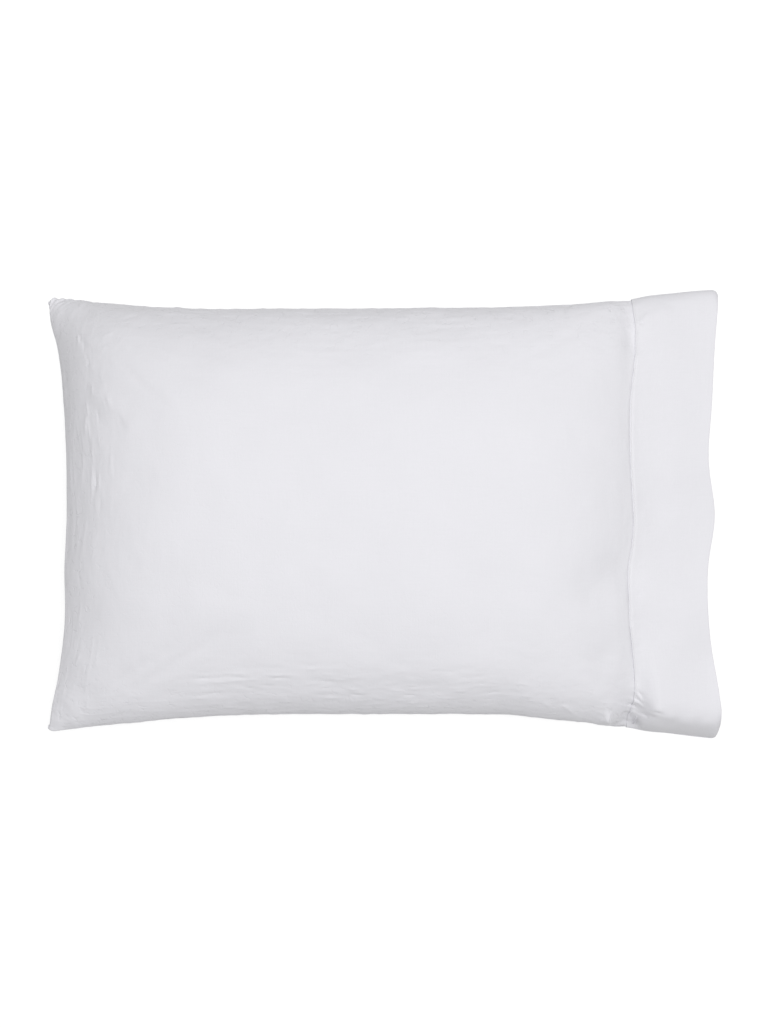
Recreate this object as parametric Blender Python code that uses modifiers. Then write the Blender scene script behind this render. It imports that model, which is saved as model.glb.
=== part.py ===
"""A stuffed linen pillowcase with an open hem cuff, lying on its back.

X runs along the case towards its open mouth, Y across it towards the far side and Z up out
of its face. The back lies on z = 0, and the origin is under the middle of the whole case.
Metres throughout.
"""

import math
from collections import namedtuple
from functools import partial

import bmesh
import bpy

# The case is sewn from a 21 x 32 in flat bag, of which the last 4 in are the cuff.
CLOSED_END_X = -0.3995  # the closed end's seam at its two corners
CLOSED_END_DRAW = 0.022  # how far the filling draws that seam in at its middle
CLOSED_END_LIFT = 0.018  # how far the filling lifts it there, above its corners
CLOSED_END_FULLNESS = 2.2  # 2 draws it into a parabola, more keeps its middle straighter
SEAM_X = 0.292  # the seam of bag and cuff
MOUTH_X = 0.392  # the cuff's free edge
CORNER_RADIUS = 0.008  # the sewn corners, seen from above

# The crown rises from the closed end's seam over this run, on a rounded shoulder.
SHOULDER_RUN = 0.200
SHOULDER_FULLNESS = 2.15

# Where the back leaves the surface it lies on, it turns up this softly.
BACK_SOFTNESS = 0.006

# The filling's end, which closes the bag inside the cuff.
TUCK_INSET = 0.005
TUCK_SET_BACK = 0.007
TUCK_REACH = 0.022

# The cuff is a folded band, sewn on over the bag's edge.
CUFF_THICKNESS = 0.002
CUFF_PROUD = 0.0008
CUFF_GAP = 0.0006

# Faces along and across each panel. The bag's rows crowd towards both its ends, where the
# skin turns most, by this share of them.
BAG_ROWS = 40
TUCK_ROWS = 5
CUFF_ROWS = 9
PANEL_COLUMNS = 42
END_CROWDING = 0.65
WELD = 1e-5

LINEN_ROUGHNESS = 0.9
BODY_WHITE = (0.83, 0.83, 0.85)
CUFF_WHITE = (0.84, 0.84, 0.86)

# Sections of the case. The far and near edges are its outline from above, lift is the
# height of the side seams, top the crown, belly how far the back would hang below the side
# seams with nothing under it, and fullness 2 an elliptic section, more a squarer one.
Section = namedtuple("Section", "x far near lift top belly fullness")
SECTIONS = [
    Section(-0.399, 0.2565, -0.2570, 0.036, 0.138, 0.070, 1.9),
    Section(-0.342, 0.2520, -0.2515, 0.043, 0.143, 0.077, 1.9),
    Section(-0.229, 0.2445, -0.2400, 0.052, 0.147, 0.086, 1.9),
    Section(-0.100, 0.2438, -0.2370, 0.056, 0.149, 0.092, 1.9),
    Section(0.040, 0.2448, -0.2370, 0.056, 0.147, 0.092, 1.9),
    Section(0.142, 0.2460, -0.2375, 0.053, 0.139, 0.087, 1.9),
    Section(0.199, 0.2487, -0.2440, 0.049, 0.127, 0.080, 2.0),
    Section(0.240, 0.2510, -0.2480, 0.044, 0.112, 0.073, 2.1),
    Section(0.270, 0.2527, -0.2500, 0.039, 0.095, 0.067, 2.2),
    Section(0.292, 0.2534, -0.2515, 0.034, 0.078, 0.062, 2.3),
    Section(0.313, 0.2590, -0.2580, 0.030, 0.069, 0.058, 2.3),
    Section(0.341, 0.2630, -0.2620, 0.025, 0.061, 0.056, 2.3),
    Section(0.370, 0.2650, -0.2650, 0.021, 0.053, 0.055, 2.35),
    Section(0.397, 0.2665, -0.2665, 0.018, 0.047, 0.055, 2.4),
]

# How the seam and the mouth wander, in X, from their straight lines. across is -1 at the
# near edge and 1 at the far edge.
Wander = namedtuple("Wander", "across seam mouth")
WANDERS = [
    Wander(-1.00, -0.0060, 0.0075),
    Wander(-0.88, 0.0000, 0.0060),
    Wander(-0.75, 0.0032, 0.0020),
    Wander(-0.50, -0.0026, -0.0070),
    Wander(-0.25, -0.0022, -0.0085),
    Wander(0.00, 0.0014, -0.0010),
    Wander(0.25, -0.0024, -0.0070),
    Wander(0.50, -0.0020, -0.0030),
    Wander(0.75, 0.0044, 0.0000),
    Wander(0.88, 0.0045, 0.0020),
    Wander(1.00, 0.0018, 0.0045),
]

# Folds that the seam's ends draw into the face, and soft dents. Each runs from one point to
# another and stands this high, or this deep, fading out at this distance from its line.
Fold = namedtuple("Fold", "x0 y0 x1 y1 reach height")
FOLDS = [
    Fold(0.298, -0.206, 0.322, -0.238, 0.009, 0.0040),
    Fold(0.304, -0.224, 0.350, -0.250, 0.010, -0.0040),
    Fold(0.254, -0.216, 0.272, -0.244, 0.012, 0.0035),
    Fold(0.276, -0.206, 0.286, -0.240, 0.010, -0.0030),
    Fold(0.300, 0.224, 0.330, 0.242, 0.009, 0.0030),
    Fold(0.280, 0.232, 0.288, 0.206, 0.009, -0.0030),
    Fold(0.246, -0.084, 0.272, -0.072, 0.030, -0.0040),
    Fold(-0.350, 0.120, -0.310, 0.110, 0.016, -0.0020),
    Fold(-0.332, 0.138, -0.296, 0.106, 0.012, 0.0018),
    Fold(-0.250, -0.214, -0.120, -0.205, 0.012, -0.0020),
    Fold(-0.080, -0.196, 0.060, -0.204, 0.012, -0.0018),
]

# Waves of the cuff's upper layer, full height at the mouth and nothing at the seam.
Wave = namedtuple("Wave", "y reach height")
WAVES = [
    Wave(-0.205, 0.045, -0.0030),
    Wave(-0.095, 0.060, 0.0045),
    Wave(0.000, 0.060, -0.0040),
    Wave(0.085, 0.060, 0.0040),
    Wave(0.195, 0.050, -0.0030),
]


def smooth_between(rows, key, column, at):
    """The rows' column at this value of their key, on one smooth curve through them all."""
    keys = [getattr(row, key) for row in rows]
    values = [getattr(row, column) for row in rows]
    at = min(max(at, keys[0]), keys[-1])
    last = len(keys) - 1
    i = next(k for k in range(last) if at <= keys[k + 1])

    def slope(k):
        lower, upper = max(k - 1, 0), min(k + 1, last)
        return (values[upper] - values[lower]) / (keys[upper] - keys[lower])

    span = keys[i + 1] - keys[i]
    t = (at - keys[i]) / span
    return (
        (1 + 2 * t) * (1 - t) ** 2 * values[i]
        + t * (1 - t) ** 2 * span * slope(i)
        + t * t * (3 - 2 * t) * values[i + 1]
        + t * t * (t - 1) * span * slope(i + 1)
    )


def section_at(x, column):
    return smooth_between(SECTIONS, "x", column, x)


def wander_at(across, column):
    return smooth_between(WANDERS, "across", column, across)


def closed_end(across):
    return CLOSED_END_X + CLOSED_END_DRAW * (1 - abs(across) ** CLOSED_END_FULLNESS)


def seam_line(across):
    return SEAM_X + wander_at(across, "seam")


def mouth_line(across):
    return MOUTH_X + wander_at(across, "mouth")


def round_across(turn, fullness):
    """Across and bulge of a section at this turn from its far edge, 0, to its near, pi."""
    sweep = math.cos(turn)
    across = math.copysign(abs(sweep) ** (2 / fullness), sweep)
    return across, max(math.sin(turn), 0.0) ** (2 / fullness)


def laid_down(z):
    """A height pressed flat on the surface at z = 0, with a soft turn where it lifts off."""
    if abs(z) < BACK_SOFTNESS:
        return (z + BACK_SOFTNESS) ** 2 / (4 * BACK_SOFTNESS)
    return max(z, 0.0)


def shoulder(depth):
    """How much of the crown stands this far in from the closed end's seam."""
    left = max(1 - depth / SHOULDER_RUN, 0.0)
    return (1 - left**SHOULDER_FULLNESS) ** (1 / SHOULDER_FULLNESS)


def corner_cut(depth):
    """How much narrower the case is this near to an end, for its rounded corner."""
    left = min(max(CORNER_RADIUS - depth, 0.0), CORNER_RADIUS)
    return CORNER_RADIUS - math.sqrt(CORNER_RADIUS**2 - left**2)


def fold_height(x, y):
    total = 0.0
    for fold in FOLDS:
        run_x, run_y = fold.x1 - fold.x0, fold.y1 - fold.y0
        share = (x - fold.x0) * run_x + (y - fold.y0) * run_y
        share = min(max(share / (run_x**2 + run_y**2), 0.0), 1.0)
        away = math.hypot(x - fold.x0 - share * run_x, y - fold.y0 - share * run_y)
        total += fold.height * math.exp(-((away / fold.reach) ** 2))
    return total


def wave_height(y, share):
    waves = (wave.height * math.exp(-(((y - wave.y) / wave.reach) ** 2)) for wave in WAVES)
    return share * sum(waves)


def skin_point(x, across, bulge, side, proud=0.0, wave=0.0):
    """A point of the case's skin. side is 1 on the face and -1 on the back."""
    depth = x - closed_end(across)
    far, near = section_at(x, "far"), section_at(x, "near")
    half = (far - near) / 2 + proud - corner_cut(x - closed_end(1))
    half -= corner_cut(mouth_line(math.copysign(1, across)) - x)
    y = (far + near) / 2 + half * across
    toward_end = max(1 - depth / SHOULDER_RUN, 0.0)
    lift = section_at(x, "lift") + CLOSED_END_LIFT * (1 - across**2) * toward_end**2
    rise = bulge * shoulder(depth)
    if side < 0:
        return x, y, laid_down(lift - (section_at(x, "belly") + proud) * rise)
    crown = section_at(x, "top") + proud - lift
    return x, y, lift + rise * (crown + fold_height(x, y) + wave_height(y, wave))


def bag_spacing(share):
    """Where this share of the bag's rows ends, from 0 at the closed end to 1 at the seam."""
    crowded = (1 - math.cos(math.pi * share)) / 2
    return share + END_CROWDING * (crowded - share)


def bag_point(side, row, column):
    """The bag's skin, row 0 at the closed end and BAG_ROWS at the seam, then its tucked end."""
    share = bag_spacing(min(row / BAG_ROWS, 1.0))
    turn = math.pi * column / PANEL_COLUMNS
    middle_x = closed_end(0) + (SEAM_X - closed_end(0)) * share
    across, bulge = round_across(turn, section_at(middle_x, "fullness"))
    x = closed_end(across) + (seam_line(across) - closed_end(across)) * share
    x, y, z = skin_point(x, across, bulge, side)
    if row <= BAG_ROWS:
        return x, y, z
    # The tucked end steps in from the seam all round, then closes on its own middle line.
    closing = math.pi / 2 * (row - BAG_ROWS - 1) / TUCK_ROWS
    y -= TUCK_INSET * across * (1 + math.sin(closing))
    z -= TUCK_INSET * bulge * side
    middle_z = section_at(SEAM_X, "lift")
    reach = TUCK_REACH * (1 - across**4) * math.sin(closing)
    return x - TUCK_SET_BACK + reach, y, middle_z + (z - middle_z) * math.cos(closing)


def cuff_point(row, column):
    """The cuff's outside, row 0 at the seam and CUFF_ROWS at the mouth, columns all round it."""
    share = row / CUFF_ROWS
    middle_x = SEAM_X + (MOUTH_X - SEAM_X) * share
    side = 1 if column <= PANEL_COLUMNS else -1
    turn = math.pi * (column if side > 0 else 2 * PANEL_COLUMNS - column) / PANEL_COLUMNS
    across, bulge = round_across(turn, section_at(middle_x, "fullness"))
    start = seam_line(across) + CUFF_GAP
    x = start + (mouth_line(across) - start) * share
    return skin_point(x, across, bulge, side, CUFF_PROUD, share)


def new_grid(mesh, rows, columns, placed):
    """Adds a grid to the mesh and moves its point at each row and column where it belongs."""
    made = bmesh.ops.create_grid(mesh, x_segments=rows, y_segments=columns, size=0.5)
    for vert in made["verts"]:
        row = round((vert.co.x + 0.5) * rows)
        column = round((vert.co.y + 0.5) * columns)
        vert.co = placed(row, column)


def new_object(name, mesh, material, collection):
    bmesh.ops.remove_doubles(mesh, verts=mesh.verts, dist=WELD)
    bmesh.ops.recalc_face_normals(mesh, faces=mesh.faces)
    data = bpy.data.meshes.new(name)
    mesh.to_mesh(data)
    mesh.free()
    data.shade_smooth()
    data.materials.append(material)
    made = bpy.data.objects.new(name, data)
    collection.objects.link(made)
    return made


def linen(name, colour):
    material = bpy.data.materials.new(name)
    material.use_nodes = True
    shader = material.node_tree.nodes["Principled BSDF"]
    shader.inputs["Base Color"].default_value = (*colour, 1)
    shader.inputs["Roughness"].default_value = LINEN_ROUGHNESS
    shader.inputs["Metallic"].default_value = 0.0
    return material


def make_bag(collection):
    """Face and back panels, sewn together round the edge and closed over the filling."""
    mesh = bmesh.new()
    for side in (1, -1):
        new_grid(mesh, BAG_ROWS + 1 + TUCK_ROWS, PANEL_COLUMNS, partial(bag_point, side))
    return new_object("case_body", mesh, linen("linen_body", BODY_WHITE), collection)


def make_cuff(collection):
    """One band right round the mouth, thickened inwards."""
    mesh = bmesh.new()
    new_grid(mesh, CUFF_ROWS, 2 * PANEL_COLUMNS, cuff_point)
    cuff = new_object("hem_cuff", mesh, linen("linen_cuff", CUFF_WHITE), collection)
    wall = cuff.modifiers.new("wall", "SOLIDIFY")
    wall.thickness = CUFF_THICKNESS
    wall.offset = -1
    wall.use_even_offset = True
    return cuff


def main():
    for old in list(bpy.data.objects):
        bpy.data.objects.remove(old)
    collection = bpy.data.collections.new("pillowcase")
    bpy.context.scene.collection.children.link(collection)
    make_bag(collection)
    make_cuff(collection)


main()
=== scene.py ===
"""The looks of a stuffed linen pillowcase with an open hem cuff, lying on its back.

The bag is cut as two flat panels, sewn, filled by a cloth simulation, and then given the
folds, puckers and crumples of washed linen. The cuff is a doubled band round its mouth, with
a row of stitches along the seam. X runs towards the mouth, Y towards the far side and Z up
out of the face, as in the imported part. Metres throughout.
"""

import math
import random
from collections import namedtuple

import bpy
import numpy as np
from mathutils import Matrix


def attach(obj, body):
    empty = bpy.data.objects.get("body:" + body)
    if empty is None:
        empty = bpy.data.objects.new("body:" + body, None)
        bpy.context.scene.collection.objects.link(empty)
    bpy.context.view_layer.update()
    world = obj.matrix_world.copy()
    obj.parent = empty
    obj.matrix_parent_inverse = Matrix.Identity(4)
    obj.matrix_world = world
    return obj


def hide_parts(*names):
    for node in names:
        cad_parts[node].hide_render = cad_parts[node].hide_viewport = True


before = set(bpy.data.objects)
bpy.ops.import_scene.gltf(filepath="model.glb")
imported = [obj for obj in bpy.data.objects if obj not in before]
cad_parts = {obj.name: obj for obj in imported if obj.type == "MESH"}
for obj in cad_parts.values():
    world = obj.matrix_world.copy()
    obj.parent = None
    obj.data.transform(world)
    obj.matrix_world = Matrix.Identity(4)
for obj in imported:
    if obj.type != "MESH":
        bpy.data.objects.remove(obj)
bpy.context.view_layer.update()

# ---------------------------------------------------------------- the measured case

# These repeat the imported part's own form: a 21 x 32 in flat bag with a 4 in cuff.
CLOSED_END_X = -0.3995
CLOSED_END_DRAW = 0.0235
CLOSED_END_LIFT = 0.018
CLOSED_END_FULLNESS = 2.2
SEAM_X = 0.292
MOUTH_X = 0.392
CORNER_RADIUS = 0.008
SHOULDER_RUN = 0.200
SHOULDER_FULLNESS = 2.15
BACK_SOFTNESS = 0.006
END_PINCH = 0.42
END_PINCH_REACH = 0.016
CUFF_EDGE = 0.0011
TUCK_INSET = 0.005
TUCK_REACH = 0.010
TUCK_ROWS = 9
TONGUE_CLEAR = 0.0004
TONGUE_DEPTHS = (0.0006, 0.0022, 0.0040, 0.0060)
CUFF_THICKNESS = 0.002
CUFF_PROUD = 0.0008
CUFF_GAP = 0.0006

Section = namedtuple("Section", "x far near lift top belly fullness")
SECTIONS = [
    Section(-0.399, 0.2614, -0.2600, 0.036, 0.138, 0.070, 2.1),
    Section(-0.342, 0.2545, -0.2515, 0.043, 0.143, 0.077, 2.1),
    Section(-0.229, 0.2445, -0.2400, 0.052, 0.147, 0.086, 2.1),
    Section(-0.100, 0.2438, -0.2370, 0.056, 0.149, 0.092, 2.1),
    Section(0.040, 0.2448, -0.2370, 0.056, 0.147, 0.092, 2.1),
    Section(0.142, 0.2460, -0.2375, 0.053, 0.139, 0.087, 2.1),
    Section(0.199, 0.2487, -0.2440, 0.049, 0.127, 0.080, 2.15),
    Section(0.240, 0.2510, -0.2480, 0.044, 0.112, 0.073, 2.2),
    Section(0.270, 0.2540, -0.2530, 0.039, 0.095, 0.067, 2.2),
    Section(0.292, 0.2552, -0.2550, 0.034, 0.078, 0.062, 2.3),
    Section(0.313, 0.2596, -0.2592, 0.030, 0.069, 0.058, 2.3),
    Section(0.341, 0.2630, -0.2620, 0.025, 0.061, 0.056, 2.3),
    Section(0.370, 0.2662, -0.2658, 0.021, 0.053, 0.055, 2.35),
    Section(0.397, 0.2682, -0.2686, 0.018, 0.047, 0.055, 2.4),
]

# How far the cuff's seam, its mouth and the closed end stray from their smooth lines.
Wander = namedtuple("Wander", "across seam mouth closed")
WANDERS = [
    Wander(-1.00, -0.0022, 0.0084, -0.0018),
    Wander(-0.88, 0.0030, 0.0068, -0.0022),
    Wander(-0.75, 0.0032, 0.0020, 0.0004),
    Wander(-0.50, -0.0026, -0.0086, 0.0020),
    Wander(-0.25, -0.0022, -0.0098, -0.0022),
    Wander(0.00, 0.0014, -0.0008, -0.0008),
    Wander(0.25, -0.0024, -0.0088, -0.0006),
    Wander(0.50, -0.0020, -0.0041, -0.0019),
    Wander(0.75, 0.0044, 0.0002, -0.0038),
    Wander(0.88, 0.0045, 0.0036, -0.0080),
    Wander(1.00, 0.0018, 0.0068, -0.0052),
]

# Where the case's rim hangs lower than its section gives it.
Droop = namedtuple("Droop", "x y reach_x reach_y depth")
DROOPS = [
    Droop(-0.392, 0.205, 0.055, 0.110, 0.035),
    Droop(-0.400, -0.140, 0.040, 0.130, -0.008),
    Droop(0.100, -0.250, 0.300, 0.030, 0.012),
    Droop(0.225, -0.256, 0.060, 0.032, 0.008),
    Droop(0.294, -0.252, 0.030, 0.045, 0.014),
    Droop(0.360, -0.262, 0.060, 0.026, 0.018),
    Droop(-0.290, 0.262, 0.110, 0.055, 0.024),
]

Wave = namedtuple("Wave", "y reach height")
WAVES = [
    Wave(-0.205, 0.045, -0.0030),
    Wave(-0.095, 0.060, 0.0045),
    Wave(0.000, 0.060, -0.0040),
    Wave(0.085, 0.060, 0.0040),
    Wave(0.195, 0.050, -0.0030),
]

# ---------------------------------------------------------------- folds and creases

# Each runs from one point to another, seen from above, and stands this high, or this deep,
# fading out at this distance from its line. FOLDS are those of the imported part.
Fold = namedtuple("Fold", "x0 y0 x1 y1 reach height")
FOLDS = [
    Fold(0.300, -0.208, 0.318, -0.230, 0.008, 0.0024),
    Fold(0.304, -0.230, 0.340, -0.248, 0.010, -0.0030),
    Fold(0.254, -0.216, 0.272, -0.244, 0.012, 0.0035),
    Fold(0.276, -0.200, 0.284, -0.222, 0.010, -0.0020),
    Fold(0.300, 0.224, 0.330, 0.242, 0.009, 0.0030),
    Fold(0.293, 0.240, 0.294, 0.204, 0.011, -0.0034),
    Fold(0.246, -0.084, 0.272, -0.072, 0.030, -0.0040),
    Fold(-0.350, 0.120, -0.310, 0.110, 0.016, -0.0020),
    Fold(-0.332, 0.138, -0.296, 0.106, 0.012, 0.0018),
    Fold(-0.250, -0.214, -0.120, -0.205, 0.012, -0.0020),
    Fold(-0.080, -0.196, 0.060, -0.204, 0.012, -0.0018),
]

# Creases beside the closed end, most of them along it.
CLOSED_END_CREASES = [
    Fold(-0.366, 0.221, -0.361, 0.200, 0.0020, 0.00080),
    Fold(-0.361, 0.211, -0.348, 0.181, 0.0013, -0.00072),
    Fold(-0.346, 0.178, -0.340, 0.166, 0.0013, 0.00058),
    Fold(-0.334, 0.166, -0.327, 0.146, 0.0012, 0.00058),
    Fold(-0.343, 0.150, -0.344, 0.134, 0.0013, 0.00065),
    Fold(-0.349, 0.130, -0.353, 0.076, 0.0014, 0.00080),
    Fold(-0.353, 0.076, -0.355, 0.041, 0.0016, 0.00058),
    Fold(-0.348, 0.108, -0.343, 0.088, 0.0012, 0.00058),
    Fold(-0.342, 0.088, -0.340, 0.062, 0.0013, 0.00072),
    Fold(-0.338, 0.062, -0.338, 0.018, 0.0013, -0.00087),
    Fold(-0.342, 0.060, -0.342, 0.016, 0.0013, 0.00072),
    Fold(-0.333, 0.056, -0.334, 0.020, 0.0012, 0.00051),
    Fold(-0.346, 0.024, -0.336, 0.010, 0.0012, 0.00065),
    Fold(-0.319, 0.070, -0.315, 0.046, 0.0012, 0.00058),
    Fold(-0.315, 0.094, -0.316, 0.084, 0.0010, 0.00043),
    Fold(-0.334, 0.090, -0.331, 0.078, 0.0012, 0.00051),
    Fold(-0.350, -0.004, -0.353, -0.046, 0.0019, 0.00043),
    Fold(-0.273, -0.012, -0.275, -0.032, 0.0013, 0.00043),
    Fold(-0.357, -0.112, -0.360, -0.128, 0.0013, 0.00043),
    Fold(-0.361, -0.166, -0.363, -0.176, 0.0013, 0.00051),
    Fold(-0.352, -0.194, -0.350, -0.226, 0.0022, 0.00051),
    Fold(-0.331, 0.126, -0.323, 0.136, 0.0010, 0.00087),
    Fold(-0.323, 0.136, -0.314, 0.121, 0.0010, 0.00094),
    Fold(-0.317, 0.125, -0.301, 0.102, 0.0010, -0.00087),
    Fold(-0.314, 0.124, -0.297, 0.103, 0.0010, 0.00072),
]

# Creases that run beside the two long sides.
LONG_SIDE_CREASES = [
    Fold(-0.219, -0.193, -0.205, -0.192, 0.0013, -0.00080),
    Fold(-0.213, -0.198, -0.189, -0.196, 0.0016, 0.00072),
    Fold(-0.186, -0.186, -0.160, -0.185, 0.0012, 0.00072),
    Fold(-0.201, -0.190, -0.160, -0.189, 0.0013, -0.00080),
    Fold(-0.189, -0.193, -0.148, -0.193, 0.0016, 0.00065),
    Fold(-0.171, -0.198, -0.153, -0.203, 0.0013, -0.00080),
    Fold(-0.207, -0.209, -0.188, -0.208, 0.0013, -0.00058),
    Fold(-0.165, -0.179, -0.100, -0.177, 0.0013, -0.00051),
    Fold(-0.138, -0.187, -0.112, -0.186, 0.0013, 0.00072),
    Fold(-0.134, -0.191, -0.112, -0.190, 0.0013, -0.00065),
    Fold(-0.124, -0.200, -0.115, -0.207, 0.0012, -0.00087),
    Fold(-0.218, -0.215, -0.212, -0.214, 0.0013, 0.00058),
    Fold(-0.183, -0.227, -0.178, -0.224, 0.0013, 0.00087),
    Fold(-0.118, -0.222, -0.108, -0.220, 0.0013, 0.00072),
    Fold(-0.100, -0.173, -0.066, -0.176, 0.0014, -0.00051),
    Fold(-0.076, -0.183, -0.060, -0.187, 0.0013, 0.00072),
    Fold(-0.074, -0.190, -0.062, -0.198, 0.0013, -0.00080),
    Fold(-0.047, -0.187, -0.036, -0.188, 0.0012, 0.00065),
    Fold(-0.040, -0.202, -0.033, -0.209, 0.0013, 0.00080),
    Fold(-0.050, -0.213, -0.018, -0.211, 0.0013, -0.00065),
    Fold(-0.011, -0.178, 0.002, -0.180, 0.0012, 0.00058),
    Fold(-0.017, -0.205, -0.005, -0.204, 0.0013, -0.00072),
    Fold(0.000, -0.203, 0.018, -0.209, 0.0013, 0.00087),
    Fold(0.016, -0.182, 0.025, -0.183, 0.0012, 0.00065),
    Fold(0.028, -0.188, 0.034, -0.189, 0.0012, -0.00058),
    Fold(0.018, -0.213, 0.042, -0.213, 0.0013, -0.00072),
    Fold(0.033, -0.220, 0.040, -0.227, 0.0013, 0.00094),
    Fold(0.054, -0.184, 0.072, -0.183, 0.0013, -0.00051),
    Fold(0.062, -0.214, 0.066, -0.220, 0.0013, 0.00080),
    Fold(0.078, -0.218, 0.090, -0.217, 0.0013, -0.00065),
    Fold(0.083, -0.202, 0.090, -0.208, 0.0013, 0.00087),
    Fold(0.107, -0.190, 0.116, -0.188, 0.0013, -0.00065),
    Fold(0.113, -0.201, 0.122, -0.201, 0.0012, 0.00058),
    Fold(0.119, -0.193, 0.131, -0.196, 0.0013, 0.00065),
    Fold(0.113, -0.211, 0.131, -0.208, 0.0013, -0.00080),
    Fold(0.119, -0.226, 0.128, -0.222, 0.0013, 0.00102),
    Fold(0.142, -0.203, 0.162, -0.212, 0.0026, -0.00087),
    Fold(0.160, -0.214, 0.178, -0.208, 0.0017, 0.00065),
    Fold(0.184, -0.221, 0.199, -0.228, 0.0020, 0.00094),
    Fold(0.208, -0.224, 0.226, -0.236, 0.0023, 0.00094),
    Fold(-0.272, 0.224, -0.261, 0.222, 0.0012, -0.00065),
    Fold(-0.254, 0.223, -0.225, 0.227, 0.0013, 0.00058),
    Fold(-0.316, 0.229, -0.296, 0.233, 0.0013, -0.00065),
    Fold(-0.296, 0.232, -0.290, 0.238, 0.0013, -0.00072),
    Fold(-0.330, 0.207, -0.320, 0.214, 0.0013, 0.00065),
    Fold(-0.312, 0.206, -0.302, 0.196, 0.0013, 0.00058),
    Fold(-0.020, 0.233, -0.008, 0.233, 0.0013, 0.00058),
    Fold(-0.060, 0.216, -0.052, 0.228, 0.0014, 0.00058),
]

# Where the cuff's seam meets the long sides, the cloth is pinched into small sharp folds.
SEAM_END_CREASES = [
    Fold(0.2960, -0.2065, 0.3050, -0.2160, 0.0016, -0.0011),
    Fold(0.2955, -0.2105, 0.3050, -0.2210, 0.0016, 0.0011),
    Fold(0.2950, -0.2145, 0.3060, -0.2265, 0.0016, -0.0013),
    Fold(0.2960, -0.2200, 0.3060, -0.2295, 0.0034, 0.0028),
    Fold(0.2930, -0.2290, 0.3060, -0.2370, 0.0020, -0.0018),
    Fold(0.2950, -0.2345, 0.3060, -0.2440, 0.0018, 0.0010),
    Fold(0.2960, -0.2360, 0.3120, -0.2450, 0.0022, -0.0022),
    Fold(0.3050, -0.2385, 0.3220, -0.2430, 0.0022, -0.0012),
    Fold(0.3180, -0.2330, 0.3300, -0.2360, 0.0018, -0.0010),
    Fold(0.2830, -0.2230, 0.2900, -0.2290, 0.0014, -0.0007),
    Fold(0.2830, -0.2260, 0.2900, -0.2320, 0.0014, 0.0005),
    Fold(0.2600, -0.2370, 0.2665, -0.2460, 0.0060, 0.0050),
    Fold(0.2660, -0.2310, 0.2760, -0.2400, 0.0018, -0.0009),
    Fold(0.3010, 0.2290, 0.3110, 0.2360, 0.0017, 0.0010),
    Fold(0.3000, 0.2230, 0.3090, 0.2310, 0.0016, -0.0010),
    Fold(0.2975, 0.2250, 0.3060, 0.2225, 0.0016, 0.0008),
    Fold(0.2880, 0.2280, 0.2910, 0.2190, 0.0017, 0.0011),
    Fold(0.2745, 0.2410, 0.2750, 0.2350, 0.0018, -0.0011),
]

# Short puckers square to the cuff's seam.
CUFF_TICKS = [
    Fold(0.2930, -0.0945, 0.3045, -0.0935, 0.0012, -0.0006),
    Fold(0.2930, -0.1050, 0.3050, -0.1055, 0.0012, -0.0006),
    Fold(0.2930, -0.1240, 0.3030, -0.1235, 0.0012, -0.0006),
    Fold(0.2950, -0.1560, 0.3040, -0.1555, 0.0012, -0.0005),
    Fold(0.2925, 0.0450, 0.2990, 0.0455, 0.0012, -0.0004),
    Fold(0.2935, 0.1010, 0.3000, 0.1000, 0.0012, -0.0004),
]

# Broad hollows of the face, where its corners and its seam draw it in.
HOLLOWS = [
    Fold(-0.362, -0.205, -0.352, -0.214, 0.016, -0.0020),
    Fold(0.254, -0.170, 0.262, -0.212, 0.016, -0.0030),
]

# Hollows that run on from the bag into the cuff, across the seam between them.
SEAM_HOLLOWS = [
    Fold(0.2900, -0.2450, 0.2990, -0.2540, 0.0060, -0.0030),
    Fold(0.252, -0.088, 0.276, -0.076, 0.026, -0.0035),
]

# Where the cloth falls in a valley towards the cuff's seam: this deep at the seam, over this
# length of it, from this far away in the bag and in the cuff.
Valley = namedtuple("Valley", "y reach in_bag in_cuff depth")
VALLEYS = [
    Valley(-0.262, 0.044, 0.044, 0.030, 0.0070),
]

# Fine creases strewn along the closed end and the two long sides, and a few all over.
Scatter = namedtuple("Scatter", "seed count x0 x1 y0 y1 heading length height")
SCATTERS = [
    Scatter(3, 40, -0.366, -0.318, -0.030, 0.215, 90, 0.013, 0.00059),
    Scatter(4, 10, -0.366, -0.310, -0.200, -0.030, 90, 0.011, 0.00036),
    Scatter(5, 22, -0.355, -0.255, 0.060, 0.215, 115, 0.010, 0.00050),
    Scatter(7, 64, -0.240, 0.185, -0.222, -0.172, 0, 0.012, 0.00059),
    Scatter(9, 38, -0.330, 0.260, 0.196, 0.236, 0, 0.012, 0.00056),
    Scatter(13, 10, -0.340, -0.180, -0.225, -0.150, 20, 0.012, 0.00039),
    Scatter(15, 24, -0.300, 0.260, -0.160, 0.190, 80, 0.010, 0.00031),
    Scatter(17, 14, 0.225, 0.285, -0.225, 0.225, 90, 0.010, 0.00039),
    Scatter(21, 14, -0.086, -0.060, -0.196, -0.176, 35, 0.006, 0.00070),
    Scatter(23, 16, -0.335, -0.300, 0.193, 0.222, 60, 0.007, 0.00070),
    Scatter(25, 10, 0.005, 0.040, -0.212, -0.198, 20, 0.006, 0.00063),
    Scatter(27, 8, -0.350, -0.336, 0.020, 0.120, 75, 0.006, 0.00070),
]

# The corner where the closed end meets the far side is drawn into small slanting ripples.
RIPPLE_PITCH = 0.0118
RIPPLE_SLANT = 1.4
RIPPLE_HEIGHT = 0.0017
RIPPLE_REACH = 0.008
RIPPLE_RUN = 0.058

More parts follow.
